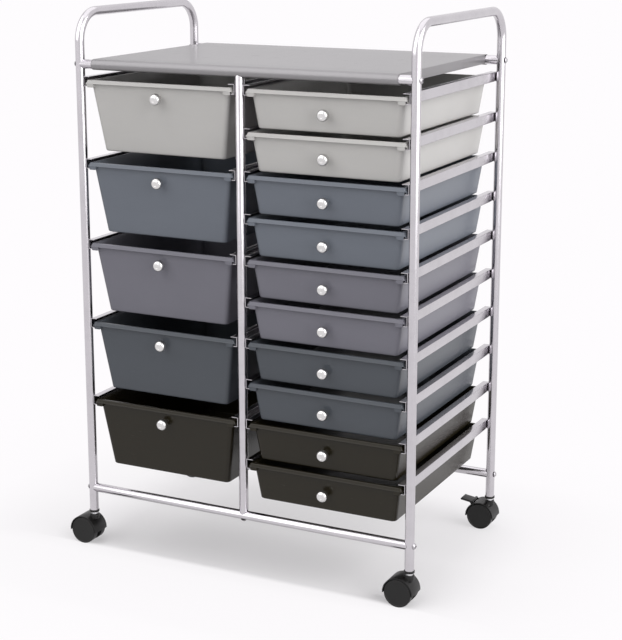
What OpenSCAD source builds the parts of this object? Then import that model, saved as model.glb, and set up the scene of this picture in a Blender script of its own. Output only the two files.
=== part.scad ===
// Rolling drawer tower: a chromed tube frame on four hooded casters carries a top panel,
// a column of five deep drawers and a column of ten shallow ones.
// X runs to the right, Y to the back and Z up. The origin is on the floor, midway between
// the four swivel axes.

/* [Tube frame] */
// Distance between the centrelines of the left and right legs
leg_span = 622; // [560:1:700]
// Distance between the centrelines of the front and rear legs
leg_depth = 384; // [330:1:450]
// Outside diameter of the legs, bars and centre posts
tube_d = 16; // [14:0.5:19]
// Wall of the tubes
tube_wall = 1.2; // [0.8:0.1:2]
// Height of the handles' centreline above the floor
handle_z = 957; // [940:1:1000]
// Radius of the handle bends, along the tube's centreline
bend_r = 50; // [35:1:60]
// Height of the top bars' centrelines
top_bar_z = 870; // [860:1:880]
// Height of the bottom bars' centrelines
bottom_bar_z = 105; // [95:1:112]
// Length of the solid plug in the end of a bar or post
plug_l = 20; // [12:1:30]
// Diameter of the spigot on top of a centre post
spigot_d = 8; // [6:0.5:10]
// Length of the spigot inside the top bar
spigot_l = 6; // [3:0.5:8]

/* [Frame bolts] */
// Diameter of the bolt shanks
bolt_d = 6; // [4:0.5:8]
// Diameter of the domed bolt heads
bolt_head_d = 11; // [9:0.5:13]
// Height of the domed bolt heads
bolt_head_h = 3.2; // [2:0.1:4.5]
// Depth of the bolts in the end plugs
bolt_grip = 16; // [8:1:19]

/* [Rails] */
// Height step from one shallow drawer's rail to the next
rail_pitch = 71.1; // [66:0.1:73]
// Drop from the top bars' centrelines to the middle of the first rails
first_rail_drop = 29; // [26:0.5:34]
// Height of the rail channels
rail_h = 17; // [15:0.5:20]
// Depth of the rail channels, web included
rail_reach = 12; // [10:0.5:15]
// Thickness of the rails' sheet steel
rail_t = 1; // [0.8:0.1:1.5]
// Length of rail past the leg centrelines, front and rear
rail_overhang = 4; // [1:0.5:6]

/* [Top panel] */
// Gap between a leg and the end of the panel
panel_gap = 19; // [10:1:40]
// Thickness of the panel's skin
panel_t = 1.1; // [0.9:0.1:2]
// Depth of the turned-down ends of the panel
panel_skirt = 16; // [8:1:20]
// Depth of the stiffening ribs under the panel
panel_rib_h = 7; // [3:0.5:12]

/* [Drawers] */
// Depth of a deep drawer's body below the middle of its rail
deep_drop = 120; // [90:1:134]
// Height of a rim above the middle of its rail
rim_rise = 2.5; // [1.5:0.1:4]
// Free height between a shallow drawer and the rim below it
stack_gap = 6; // [3:0.5:12]
// Thickness of the drawer walls and floors
wall = 1.8; // [1.4:0.1:2.4]
// Corner radius of a drawer body at the rim
corner_r = 8; // [6:0.5:14]
// Radius of the edge between the floor and the walls
floor_r = 2.5; // [2:0.5:6]
// Lean of the side walls from upright, in degrees
side_draft = 8; // [4:0.5:10]
// Lean of the front and rear walls from upright, in degrees
front_draft = 6.5; // [3:0.5:9]
// Distance of the lip's face ahead of the rails' front ends
lip_reach = 3; // [3:0.5:8]
// Distance from the rear leg centrelines forward to the rear rim
rear_gap = 11; // [10:1:30]
// Height of the front lip
lip_h = 6.5; // [5:0.5:8]
// Distance of the front and rear walls inside the rim
lip_w = 5; // [5:0.5:10]
// Outward flare of the rim's side skirts from top to bottom
flare = 3.3; // [1:0.1:4]
// Width of a stop tab under the lip
tab_w = 13; // [8:0.5:15]
// Height of a stop tab below the lip
tab_h = 6; // [3:0.5:8]

/* [Knobs] */
// Diameter of the knob
knob_d = 19.5; // [16:0.5:22]
// Thickness of the knob, from its back to its front
knob_t = 15; // [12:0.5:18]
// Distance of the knob's middle from the drawer's face
knob_reach = 12; // [11:0.5:16]
// Diameter of the neck behind the knob
knob_neck_d = 8; // [7:0.5:10]
// Diameter of the knob screws
knob_screw_d = 3.5; // [3:0.5:5]
// Drop of a deep drawer's knob below the middle of the rail
deep_knob_drop = 22; // [16:1:60]

/* [Casters] */
// Diameter of the wheels
wheel_d = 48; // [44:1:54]
// Tread width of one wheel
wheel_w = 12; // [9:0.5:14]
// Thickness of the hood's web between the two wheels
web_w = 12; // [11.5:0.5:14]
// Distance of the axle behind the swivel axis
trail = 14; // [12:0.5:18]
// Diameter of the axle
axle_d = 6; // [5:0.5:7]
// Wall of the hood over the treads
hood_wall = 1.8; // [1.4:0.1:2.4]
// Free space between the treads and the hood
hood_gap = 1.2; // [0.8:0.1:2]
// Height of the swivel boss above the hood
boss_rise = 6; // [4:0.5:9]
// Diameter of the swivel boss
boss_d = 17; // [15:0.5:19]
// Diameter of the caster stems
stem_d = 8; // [7:0.5:9]
// Length of stem inside the leg
stem_grip = 30; // [20:1:38]
// Thickness of the collar on a stem
stem_collar_h = 1.8; // [1:0.1:3]
// Thickness of the socket's collar under the leg
socket_collar_h = 3; // [2:0.1:5]
// Length of the brake lever's pedal
pedal_l = 23; // [18:0.5:28]
// Width of the brake lever's pedal
pedal_w = 22; // [18:0.5:26]
// Thickness of the brake lever's pedal
pedal_t = 3.6; // [2.5:0.1:5]

/* [Fits] */
// Gap at a welded, pushed-on or bolted seat
seat_fit = 0.1; // [0.05:0.01:0.2]
// Radial clearance of a turning shaft in its bore
running_fit = 0.05; // [0.03:0.01:0.09]
// Gap between faces that turn past each other
face_fit = 0.3; // [0.2:0.05:0.5]
// Height of a rim's side skirts over the rails that carry them
slide_fit = 0.2; // [0.1:0.05:0.3]
// Free space between a rim's side skirt and the rail's web
side_play = 2.4; // [1.5:0.1:4]
// Free space between a drawer's body and the tip of the flange it slides over
body_play = 0.8; // [0.5:0.1:3]

/* [Colours] */
// Chromed steel
chrome_tint = "#c9c8cb";
// Top panel
panel_tint = "#a6a5a7";
// Knobs
knob_tint = "#d8d7d6";
// Casters and sockets
caster_tint = "#262524";
// Drawers of the first row
mist_tint = "#b8b7b4";
// Drawers of the second row
slate_tint = "#71767f";
// Drawers of the third row
heather_tint = "#76757e";
// Drawers of the fourth row
storm_tint = "#52565c";
// Drawers of the fifth row
coal_tint = "#34302c";

/* [Hidden] */

SHALLOW_ROWS = 10;
DEEP_ROWS = 5;
SIDES = [-1, 1];
ROW_TINTS = [mist_tint, slate_tint, heather_tint, storm_tint, coal_tint];

round_fn = 48;
corner_fn = 20;
// Thickness of the slices that a hull is spanned between, and overshoot of a cutter
sliver = 0.01;
over = 1;

// Frame
leg_x = leg_span / 2;
leg_y = leg_depth / 2;
tube_r = tube_d / 2;
bolt_hole_d = bolt_d + 2 * seat_fit;
bar_end_x = leg_x - tube_r;

// Casters. The hood's top, the stem's collar and the socket's collar stack up to the leg.
wheel_r = wheel_d / 2;
hood_in_r = wheel_r + hood_gap;
hood_out_r = hood_in_r + hood_wall;
hood_top_z = wheel_r + hood_out_r + boss_rise;
stem_collar_z = hood_top_z + face_fit;
socket_z = stem_collar_z + stem_collar_h;
leg_foot_z = socket_z + socket_collar_h;
leg_bore_d = tube_d - 2 * tube_wall;
socket_collar_d = tube_d + 1.6;
stem_collar_d = stem_d + 5;
caster_w = web_w + 2 * (wheel_w + face_fit);
axle_half = caster_w / 2 - 3;
stem_foot_z = wheel_r + axle_d;

// Brake levers. At rest the pedal is lifted and the shoe has swung off the treads.
pivot_d = 3;
pivot_angle = 125;
pivot_r = hood_out_r + 2;
eye_r = 3.4;
pedal_lift = 8;
shoe_r = 1.5;
shoe_l = pivot_r - wheel_r - face_fit - shoe_r;
shoe_swing = 30;
ear_t = 2;
ear_y = (pedal_w + ear_t) / 2 + face_fit;
slot_half = 6;

// Rails and drawers. A bay is the space between two facing rail webs.
bay_x = leg_span / 4;
bay_half = bay_x - tube_r - seat_fit;
first_rail_z = top_bar_z - first_rail_drop;
rail_front = -leg_y - rail_overhang;
skirt_half = bay_half - rail_t - side_play;
rim_half = skirt_half - flare;
// The body is narrowest against the rails at their lower flanges, and widens up to its rim
flange_depth = rim_rise + rail_h / 2 - rail_t;
flange_half = bay_half - rail_reach - body_play;
body_half = flange_half + flange_depth * tan(side_draft);
rim_h = flange_depth - slide_fit;
lip_front = rail_front - lip_reach;
rim_rear = leg_y - rear_gap;
lip_lean = flare / 2;
shallow_drop = rail_pitch - rim_rise - stack_gap;
shallow_knob_drop = shallow_drop / 2;
rim_corner_r = 5;
inner_floor_r = max(floor_r - wall, wall / 4);

// Panel
panel_half = bar_end_x - panel_gap;
roll_in_r = tube_r + seat_fit;
roll_out_r = roll_in_r + panel_t;
panel_top_z = top_bar_z + roll_out_r;

function rail_z(step) = first_rail_z - rail_pitch * step;
// The five tints each cover one deep drawer and the two shallow ones beside it
function shallow_tint(row) = ROW_TINTS[floor((row - 1) / 2)];
// Distance of the front wall behind its place at the rim, at a depth below the rim
function lean(depth) = depth * tan(front_draft);

// ---- Tubes ----

// A tube along Z, from z0 up
module upright(z0, z1, d) {
    translate([0, 0, z0]) cylinder(h = z1 - z0, d = d, $fn = round_fn);
}

// The closed outline of one side frame: two legs, two bends and the handle between them
module side_outline(d) {
    straight = leg_y - bend_r;
    for (s = SIDES) {
        translate([0, s * leg_y, 0]) upright(leg_foot_z, handle_z - bend_r, d);
        translate([0, s * straight, handle_z - bend_r])
            rotate([0, 0, s * 90])
                rotate([90, 0, 0])
                    rotate_extrude(angle = 90, $fn = round_fn)
                        translate([bend_r, 0]) circle(d = d, $fn = round_fn);
    }
    translate([0, straight, handle_z])
        rotate([90, 0, 0])
            cylinder(h = 2 * straight, d = d, $fn = round_fn);
}

module side_tube(side) {
    color(chrome_tint)
        translate([side * leg_x, 0, 0])
            difference() {
                side_outline(tube_d);
                side_outline(leg_bore_d);
                for (s = SIDES, z = [top_bar_z, bottom_bar_z])
                    translate([-tube_d, s * leg_y, z])
                        rotate([0, 90, 0])
                            cylinder(h = 2 * tube_d, d = bolt_hole_d, $fn = round_fn);
                // The open foot takes the caster socket
                for (s = SIDES)
                    translate([0, s * leg_y, leg_foot_z - over])
                        cylinder(h = 2 * over, d = leg_bore_d, $fn = round_fn);
            }
}

// A cross bar between two legs, with coped, plugged and drilled ends
module cross_bar(y, z) {
    inner = bar_end_x - plug_l;
    color(chrome_tint)
        translate([0, y, z])
            difference() {
                translate([-leg_x, 0, 0])
                    rotate([0, 90, 0]) cylinder(h = leg_span, d = tube_d, $fn = round_fn);
                translate([-inner, 0, 0])
                    rotate([0, 90, 0]) cylinder(h = 2 * inner, d = leg_bore_d, $fn = round_fn);
                translate([-leg_x, 0, 0])
                    rotate([0, 90, 0]) cylinder(h = leg_span, d = bolt_hole_d, $fn = round_fn);
                for (s = SIDES)
                    translate([s * leg_x, 0, -tube_d])
                        cylinder(h = 2 * tube_d, r = tube_r + seat_fit, $fn = round_fn);
                children();
            }
}

module top_bar(side) {
    cross_bar(side * leg_y, top_bar_z)
        translate([0, 0, -tube_d])
            cylinder(h = tube_d, d = spigot_d + 2 * seat_fit, $fn = round_fn);
}

module bottom_bar(side) {
    cross_bar(side * leg_y, bottom_bar_z)
        translate([0, 0, -tube_d])
            cylinder(h = 2 * tube_d, d = bolt_hole_d, $fn = round_fn);
}

// A centre post. Its foot is coped over the bottom bar and its top under the rolled panel edge.
module center_post(side) {
    foot = bottom_bar_z + tube_r;
    head = top_bar_z - tube_r;
    color(chrome_tint)
        translate([0, side * leg_y, 0])
            difference() {
                union() {
                    difference() {
                        upright(bottom_bar_z, top_bar_z, tube_d);
                        translate([-tube_d, 0, bottom_bar_z])
                            rotate([0, 90, 0])
                                cylinder(h = 2 * tube_d, r = tube_r + seat_fit, $fn = round_fn);
                        translate([-tube_d, 0, top_bar_z])
                            rotate([0, 90, 0])
                                cylinder(h = 2 * tube_d, r = roll_out_r + seat_fit,
                                         $fn = round_fn);
                    }
                    upright(head - plug_l, head + spigot_l, spigot_d);
                }
                upright(foot + plug_l, head - plug_l, leg_bore_d);
                upright(foot - over, foot + plug_l + over, bolt_hole_d);
            }
}

// A domed bolt along Z: the head sits below z = 0 and the shank points up
module bolt(shank_l) {
    dome_r = (bolt_head_h * bolt_head_h + bolt_head_d * bolt_head_d / 4) / (2 * bolt_head_h);
    cylinder(h = shank_l, d = bolt_d, $fn = round_fn);
    intersection() {
        translate([0, 0, dome_r - bolt_head_h]) sphere(r = dome_r, $fn = round_fn);
        translate([0, 0, -bolt_head_h]) cylinder(h = bolt_head_h, d = bolt_head_d,
                                                 $fn = round_fn);
    }
}

// Eight bolts through the legs into the bars, and two up through the bottom bars into the posts
module frame_bolts() {
    color(chrome_tint) {
        for (sx = SIDES, sy = SIDES, z = [top_bar_z, bottom_bar_z])
            translate([sx * (leg_x + tube_r + seat_fit), sy * leg_y, z])
                rotate([0, -sx * 90, 0])
                    bolt(tube_d + seat_fit + bolt_grip);
        for (sy = SIDES)
            translate([0, sy * leg_y, bottom_bar_z - tube_r - seat_fit])
                bolt(tube_d + seat_fit + bolt_grip);
    }
}

// ---- Rails ----

// A channel open towards +X, whose web stands on x = 0
module rail() {
    length = -2 * rail_front;
    translate([0, rail_front, -rail_h / 2])
        difference() {
            cube([rail_reach, length, rail_h]);
            translate([rail_t, -over, rail_t])
                cube([rail_reach, length + 2 * over, rail_h - 2 * rail_t]);
        }
}

// Rails at every step-th height. Facing 1 opens them towards +X and -1 towards -X.
module rails(x, facing, step) {
    color(chrome_tint)
        for (k = [0 : step : SHALLOW_ROWS - 1])
            translate([x, 0, rail_z(k)])
                mirror([facing < 0 ? 1 : 0, 0, 0]) rail();
}

// ---- Top panel ----

// Skin, edges rolled round the top bars, turned-down ends and a grid of ribs
module top_panel() {
    flat_y = leg_y - roll_in_r + panel_t;
    rib_top = panel_top_z - panel_t;
    rib_t = 1.5;
    rib_bays = 6;
    rib_step = 2 * panel_half / rib_bays;
    color(panel_tint)
        difference() {
            union() {
                // Skin
                translate([-panel_half, -leg_y, rib_top])
                    cube([2 * panel_half, leg_depth, panel_t]);
                // Rolled edges, open on the inner lower quarter
                for (s = SIDES)
                    translate([-panel_half, s * leg_y, top_bar_z])
                        difference() {
                            rotate([0, 90, 0])
                                cylinder(h = 2 * panel_half, r = roll_out_r, $fn = round_fn);
                            translate([-over, s > 0 ? -tube_d : 0, -tube_d])
                                cube([2 * panel_half + 2 * over, tube_d, tube_d]);
                        }
                // Turned-down ends
                for (s = SIDES)
                    translate([s > 0 ? panel_half - panel_t : -panel_half, -flat_y,
                               panel_top_z - panel_skirt])
                        cube([panel_t, 2 * flat_y, panel_skirt]);
                // Ribs
                for (k = [1 : rib_bays - 1])
                    translate([-panel_half + k * rib_step - rib_t / 2, -flat_y,
                               rib_top - panel_rib_h])
                        cube([rib_t, 2 * flat_y, panel_rib_h]);
                for (s = SIDES)
                    translate([-panel_half, s * leg_y / 3 - rib_t / 2, rib_top - panel_rib_h])
                        cube([2 * panel_half, rib_t, panel_rib_h]);
            }
            // Seats of the bars, and the holes that the posts' spigots pass
            for (s = SIDES)
                translate([0, s * leg_y, top_bar_z]) {
                    translate([-leg_x, 0, 0])
                        rotate([0, 90, 0]) cylinder(h = leg_span, r = roll_in_r, $fn = round_fn);
                    translate([0, 0, -tube_d])
                        cylinder(h = tube_d, d = spigot_d + 4 * seat_fit, $fn = round_fn);
                }
        }
}

// ---- Drawers ----

// Four corner posts of a slice, for a hull: half width, front, rear, corner radius, height
module slice(half, front, rear, r, z) {
    for (sx = SIDES, y = [front + r, rear - r])
        translate([sx * (half - r), y, z])
            cylinder(h = sliver, r = r, $fn = corner_fn);
}

// A leaning box with rounded corners, inset from the body's outside by t. It runs down from
// the rim to the given drop below the rail's middle, and its lower edge is rounded in two
// steps, each given as its height above the floor and its distance inside the wall.
module body_form(drop, t, top_z, round_r) {
    mid = round_r * (1 - cos(45));
    levels = [[0, round_r], [mid, mid], [round_r, 0]];
    hull() {
        slice(body_half - t, lip_front + lip_w + t, rim_rear - lip_w - t, corner_r - t, top_z);
        for (level = levels) {
            z = -drop + t + level[0];
            depth = rim_rise - z;
            inset = t + level[1] + depth * tan(side_draft);
            slice(body_half - inset, lip_front + lip_w + t + level[1] + lean(depth),
                  rim_rear - lip_w - t - level[1] - lean(depth), corner_r - t, z);
        }
    }
}

// The flared rim, shrunk by t on every side and from above
module rim_form(t) {
    r = rim_corner_r;
    hull() {
        slice(rim_half - t, lip_front + lip_lean + t, rim_rear - lip_lean - t, r - t,
              rim_rise - t - sliver);
        slice(skirt_half - t, lip_front + t, rim_rear - t, r - t,
              t > 0 ? rim_rise - rim_h - over : rim_rise - rim_h);
    }
}

// The knob's seat: on the front wall at a drop below the rail's middle, with -Y out of the wall
module on_front(drop) {
    translate([0, lip_front + lip_w + lean(rim_rise + drop), -drop])
        rotate([front_draft, 0, 0])
            children();
}

// One stop tab, on the +X side: a plate that meets the rail's front end, hung from the lip, and
// two ribs back to the body that clear the rail's flange
module stop_tab() {
    outer = rim_half - wall / 2;
    plate_y = rail_front - face_fit - wall;
    bottom = rim_rise - lip_h - tab_h;
    translate([outer - tab_w, plate_y, bottom])
        cube([tab_w, wall, tab_h + wall]);
    for (x = [outer - tab_w, flange_half - wall])
        translate([x, plate_y + wall / 2, bottom])
            cube([wall, lip_front + lip_w + corner_r - wall - plate_y,
                  rim_rise - wall / 2 - bottom]);
}

// One drawer about the middle of its rails, of the given drop, drilled for its knob
module drawer(drop, knob_drop, tint) {
    color(tint)
        difference() {
            union() {
                body_form(drop, 0, rim_rise - sliver, floor_r);
                difference() {
                    rim_form(0);
                    rim_form(wall);
                    // The front lip is less deep than the side skirts
                    translate([-rim_half, lip_front - over, rim_rise - rim_h - over])
                        cube([2 * rim_half, lip_w, rim_h - lip_h + over]);
                }
                for (side = [0, 1])
                    mirror([side, 0, 0]) stop_tab();
            }
            body_form(drop, wall, rim_rise + over, inner_floor_r);
            on_front(knob_drop)
                rotate([90, 0, 0])
                    translate([0, 0, -2 * wall])
                        cylinder(h = 4 * wall, d = knob_screw_d + 4 * seat_fit, $fn = round_fn);
        }
}

// Half of the knob's outline, from its back to its front: a disc with a broad rounded edge
function knob_outline() =
    let (edge = 0.4 * knob_t, flat_r = knob_d / 2 - edge, rim_y = knob_t / 2 - edge, step = 15)
    concat([[0, -knob_t / 2]],
           [for (a = [-90 : step : 0]) [flat_r + edge * cos(a), edge * sin(a) - rim_y]],
           [for (a = [0 : step : 90]) [flat_r + edge * cos(a), edge * sin(a) + rim_y]],
           [[0, knob_t / 2]]);

// A knob on its neck, and the screw that holds it from inside the drawer
module knob(knob_drop) {
    screw_in = knob_reach - 3;
    head_h = 2.4;
    color(knob_tint)
        on_front(knob_drop) {
            difference() {
                union() {
                    translate([0, -knob_reach, 0])
                        rotate([90, 0, 0])
                            rotate_extrude($fn = round_fn) polygon(knob_outline());
                    translate([0, -seat_fit, 0])
                        rotate([90, 0, 0])
                            cylinder(h = knob_reach, d = knob_neck_d, $fn = round_fn);
                }
                rotate([90, 0, 0])
                    cylinder(h = screw_in + seat_fit, d = knob_screw_d + 2 * seat_fit,
                             $fn = round_fn);
            }
            translate([0, wall + seat_fit, 0]) {
                rotate([90, 0, 0])
                    cylinder(h = screw_in + wall, d = knob_screw_d, $fn = round_fn);
                rotate([-90, 0, 0])
                    cylinder(h = head_h, d = 2 * knob_screw_d, $fn = round_fn);
            }
        }
}

module deep_place(row) {
    translate([-bay_x, 0, rail_z(2 * (row - 1))]) children();
}

module shallow_place(row) {
    translate([bay_x, 0, rail_z(row - 1)]) children();
}

module deep_drawer(row) {
    deep_place(row) drawer(deep_drop, deep_knob_drop, ROW_TINTS[row - 1]);
}

module shallow_drawer(row) {
    shallow_place(row) drawer(shallow_drop, shallow_knob_drop, shallow_tint(row));
}

module deep_knob(row) {
    deep_place(row) knob(deep_knob_drop);
}

module shallow_knob(row) {
    shallow_place(row) knob(shallow_knob_drop);
}

// ---- Casters ----

module at_leg(sx, sy) {
    translate([sx * leg_x, sy * leg_y, 0]) children();
}

// Centre of a wheel pair, with its axle along Y
module at_axle(sx, sy) {
    at_leg(sx, sy) translate([-trail, 0, wheel_r]) children();
}

// A disc about the axle, from y0 to y1
module axle_disc(r, y0, y1) {
    translate([0, y1, 0]) rotate([90, 0, 0]) cylinder(h = y1 - y0, r = r, $fn = round_fn);
}

module at_pivot() {
    translate([pivot_r * cos(pivot_angle), 0, pivot_r * sin(pivot_angle)]) children();
}

// Plugs that line the legs' feet, each with a collar under the tube
module caster_sockets() {
    color(caster_tint)
        for (sx = SIDES, sy = SIDES)
            at_leg(sx, sy)
                difference() {
                    union() {
                        upright(socket_z, leg_foot_z, socket_collar_d);
                        upright(leg_foot_z, leg_foot_z + stem_grip + over,
                                leg_bore_d - 2 * seat_fit);
                    }
                    upright(socket_z - over, leg_foot_z + stem_grip + 2 * over,
                            stem_d + 2 * seat_fit);
                }
}

// Steel stems: fixed in the sockets, with the hoods turning round their lower ends
module caster_stems() {
    color(chrome_tint)
        for (sx = SIDES, sy = SIDES)
            at_leg(sx, sy) {
                upright(stem_foot_z, leg_foot_z + stem_grip, stem_d);
                upright(stem_collar_z, socket_z, stem_collar_d);
            }
}

// Everything below the hood's lower edge, which is a little under the axle's height
module under_hood() {
    skirt = 1.5;
    translate([-wheel_d, -caster_w, -skirt - wheel_d])
        cube([2 * wheel_d, 2 * caster_w, wheel_d]);
}

// The two ears that carry the brake lever's pin, standing on the hood's shell
module brake_ears() {
    for (s = SIDES)
        difference() {
            hull()
                for (share = [0.8, 1])
                    translate([share * pivot_r * cos(pivot_angle), s * ear_y,
                               share * pivot_r * sin(pivot_angle)])
                        axle_disc(eye_r, -ear_t / 2, ear_t / 2);
            axle_disc(hood_in_r, -caster_w / 2, caster_w / 2);
        }
}

// Hood over the upper half of both wheels, its web between them, and the swivel boss
module hood(sx, sy, braked) {
    hub_r = axle_d / 2 + 3.5;
    half_w = caster_w / 2;
    color(caster_tint)
        difference() {
            union() {
                at_axle(sx, sy) {
                    difference() {
                        axle_disc(hood_out_r, -half_w, half_w);
                        axle_disc(hood_in_r, -half_w - over, half_w + over);
                        under_hood();
                    }
                    difference() {
                        axle_disc(hood_in_r + hood_wall / 2, -web_w / 2, web_w / 2);
                        under_hood();
                    }
                    axle_disc(hub_r, -web_w / 2, web_w / 2);
                    if (braked) brake_ears();
                }
                at_leg(sx, sy)
                    difference() {
                        upright(wheel_r + hood_out_r - boss_rise, hood_top_z, boss_d);
                        translate([-trail, 0, wheel_r])
                            axle_disc(hood_in_r, -half_w, half_w);
                    }
            }
            at_leg(sx, sy)
                upright(stem_foot_z - face_fit, hood_top_z + over,
                        stem_d + 2 * running_fit);
            at_axle(sx, sy) {
                axle_disc(axle_d / 2 + running_fit, -web_w, web_w);
                if (braked)
                    at_pivot() {
                        axle_disc(pivot_d / 2 + running_fit, -half_w, half_w);
                        // Slot for the brake shoe, cut into the shell and the web
                        rotate([0, 90 - pivot_angle, 0])
                            translate([-slot_half, -pedal_w / 2 - face_fit,
                                       wheel_r - pivot_r - over])
                                cube([2 * slot_half, pedal_w + 2 * face_fit, pivot_r]);
                    }
            }
        }
}

module axle(sx, sy) {
    color(chrome_tint)
        at_axle(sx, sy) axle_disc(axle_d / 2, -axle_half, axle_half);
}

// Two cupped wheels seated on one axle, with their hollow sides towards the web
module wheels(sx, sy) {
    tread_t = 3;
    face_t = 2.6;
    dish = 0.6;
    edge_w = 2.2;
    hub_r = axle_d / 2 + 3;
    inner_y = web_w / 2 + face_fit;
    outer_y = inner_y + wheel_w;
    color(caster_tint)
        at_axle(sx, sy)
            for (s = SIDES)
                mirror([0, s > 0 ? 0 : 1, 0])
                    difference() {
                        union() {
                            difference() {
                                axle_disc(wheel_r, inner_y, outer_y);
                                axle_disc(wheel_r - tread_t, inner_y - over, outer_y - face_t);
                                // The face is dished inside a raised edge
                                axle_disc(wheel_r - edge_w, outer_y - dish, outer_y + over);
                            }
                            axle_disc(hub_r, inner_y, outer_y - face_t + sliver);
                        }
                        axle_disc(axle_d / 2 + seat_fit, inner_y - over, axle_half + seat_fit);
                    }
}

// Rocking brake lever: a pedal behind the hood, a pivot pin, and a shoe that swings onto both
// treads as the pedal goes down
module brake_lever(sx, sy) {
    bead_r = pedal_t / 2 + 0.3;
    eye_half = pedal_w / 2 - 0.2;
    pin_half = ear_y + ear_t / 2;
    web_of_shoe = 2 * shoe_r - 0.4;
    color(caster_tint)
        at_axle(sx, sy)
            at_pivot() {
                axle_disc(pivot_d / 2, -pin_half, pin_half);
                axle_disc(eye_r, -eye_half, eye_half);
                rotate([0, pedal_lift, 0]) {
                    translate([bead_r - pedal_l, -pedal_w / 2, -pedal_t / 2])
                        cube([pedal_l - bead_r, pedal_w, pedal_t]);
                    // Beaded tip
                    translate([bead_r - pedal_l, 0, 0]) axle_disc(bead_r, -eye_half, eye_half);
                }
                rotate([0, 90 - pivot_angle + shoe_swing, 0]) {
                    translate([-web_of_shoe / 2, -eye_half + shoe_r, -shoe_l])
                        cube([web_of_shoe, 2 * (eye_half - shoe_r), shoe_l]);
                    translate([0, 0, -shoe_l])
                        axle_disc(shoe_r, -eye_half + shoe_r, eye_half - shoe_r);
                }
            }
}

side_tube(-1);  // left_side_tube
side_tube(1);  // right_side_tube
center_post(-1);  // front_center_post
center_post(1);  // rear_center_post
rails(-bay_x - bay_half, 1, 2);  // left_side_rails
rails(-bay_x + bay_half, -1, 2);  // center_left_rails
rails(bay_x - bay_half, 1, 1);  // center_right_rails
rails(bay_x + bay_half, -1, 1);  // right_side_rails
top_bar(-1);  // top_front_bar
top_bar(1);  // top_rear_bar
bottom_bar(-1);  // bottom_front_bar
bottom_bar(1);  // bottom_rear_bar
top_panel();
frame_bolts();
caster_sockets();
caster_stems();
hood(-1, -1, false);  // front_left_hood
hood(1, -1, false);  // front_right_hood
hood(-1, 1, true);  // rear_left_hood
hood(1, 1, true);  // rear_right_hood
axle(-1, -1);  // front_left_axle
axle(1, -1);  // front_right_axle
axle(-1, 1);  // rear_left_axle
axle(1, 1);  // rear_right_axle
wheels(-1, -1);  // front_left_wheels
wheels(1, -1);  // front_right_wheels
wheels(-1, 1);  // rear_left_wheels
wheels(1, 1);  // rear_right_wheels
brake_lever(-1, 1);  // rear_left_brake_lever
brake_lever(1, 1);  // rear_right_brake_lever
deep_drawer(1);  // deep_drawer_1
deep_drawer(2);  // deep_drawer_2
deep_drawer(3);  // deep_drawer_3
deep_drawer(4);  // deep_drawer_4
deep_drawer(5);  // deep_drawer_5
deep_knob(1);  // deep_knob_1
deep_knob(2);  // deep_knob_2
deep_knob(3);  // deep_knob_3
deep_knob(4);  // deep_knob_4
deep_knob(5);  // deep_knob_5
shallow_drawer(1);  // shallow_drawer_1
shallow_drawer(2);  // shallow_drawer_2
shallow_drawer(3);  // shallow_drawer_3
shallow_drawer(4);  // shallow_drawer_4
shallow_drawer(5);  // shallow_drawer_5
shallow_drawer(6);  // shallow_drawer_6
shallow_drawer(7);  // shallow_drawer_7
shallow_drawer(8);  // shallow_drawer_8
shallow_drawer(9);  // shallow_drawer_9
shallow_drawer(10);  // shallow_drawer_10
shallow_knob(1);  // shallow_knob_1
shallow_knob(2);  // shallow_knob_2
shallow_knob(3);  // shallow_knob_3
shallow_knob(4);  // shallow_knob_4
shallow_knob(5);  // shallow_knob_5
shallow_knob(6);  // shallow_knob_6
shallow_knob(7);  // shallow_knob_7
shallow_knob(8);  // shallow_knob_8
shallow_knob(9);  // shallow_knob_9
shallow_knob(10);  // shallow_knob_10
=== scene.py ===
"""Rolling drawer tower: the finished look of its frame, drawers, knobs and casters, with a
pale floor, soft light and a camera. Run as a script around the packed model."""
import math
from contextlib import contextmanager

import bmesh
import bpy
import numpy as np
from mathutils import Euler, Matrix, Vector


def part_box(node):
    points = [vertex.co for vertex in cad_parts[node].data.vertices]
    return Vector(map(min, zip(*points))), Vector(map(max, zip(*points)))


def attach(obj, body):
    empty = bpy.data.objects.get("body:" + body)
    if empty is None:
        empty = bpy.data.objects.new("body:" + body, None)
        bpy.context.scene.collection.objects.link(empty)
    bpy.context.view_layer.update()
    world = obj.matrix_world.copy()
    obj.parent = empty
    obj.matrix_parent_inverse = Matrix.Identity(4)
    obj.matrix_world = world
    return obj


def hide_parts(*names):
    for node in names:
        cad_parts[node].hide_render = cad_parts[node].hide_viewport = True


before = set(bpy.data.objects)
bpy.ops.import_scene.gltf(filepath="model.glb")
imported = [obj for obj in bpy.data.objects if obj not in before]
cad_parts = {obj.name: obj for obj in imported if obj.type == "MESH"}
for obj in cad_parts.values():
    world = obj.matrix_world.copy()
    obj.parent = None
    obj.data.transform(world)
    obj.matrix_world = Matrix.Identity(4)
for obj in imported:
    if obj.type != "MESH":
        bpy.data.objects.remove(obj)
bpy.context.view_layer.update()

bl_info = {
    "name": "Rolling drawer tower",
    "version": (1, 0, 0),
    "blender": (4, 5, 0),
    "location": "View3D > Sidebar > Drawer tower",
    "description": "Finished pieces for a chromed drawer tower on casters",
    "category": "Add Mesh",
}

DEEP_ROWS, SHALLOW_ROWS = 5, 10
SIDES = {"left": -1, "right": 1}
ENDS = {"front": -1, "rear": 1}
CORNERS = [(end, side) for end in ENDS for side in SIDES]
ROW_COLOURS = ("mist", "slate", "heather", "storm", "coal")


# ---------------------------------------------------------------- sizes read from the frame

def middle(node, axis):
    """Middle of a CAD node's box along one axis."""
    low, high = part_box(node)
    return (low[axis] + high[axis]) / 2


def extent(node, axis):
    """Size of a CAD node's box along one axis."""
    low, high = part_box(node)
    return high[axis] - low[axis]


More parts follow.
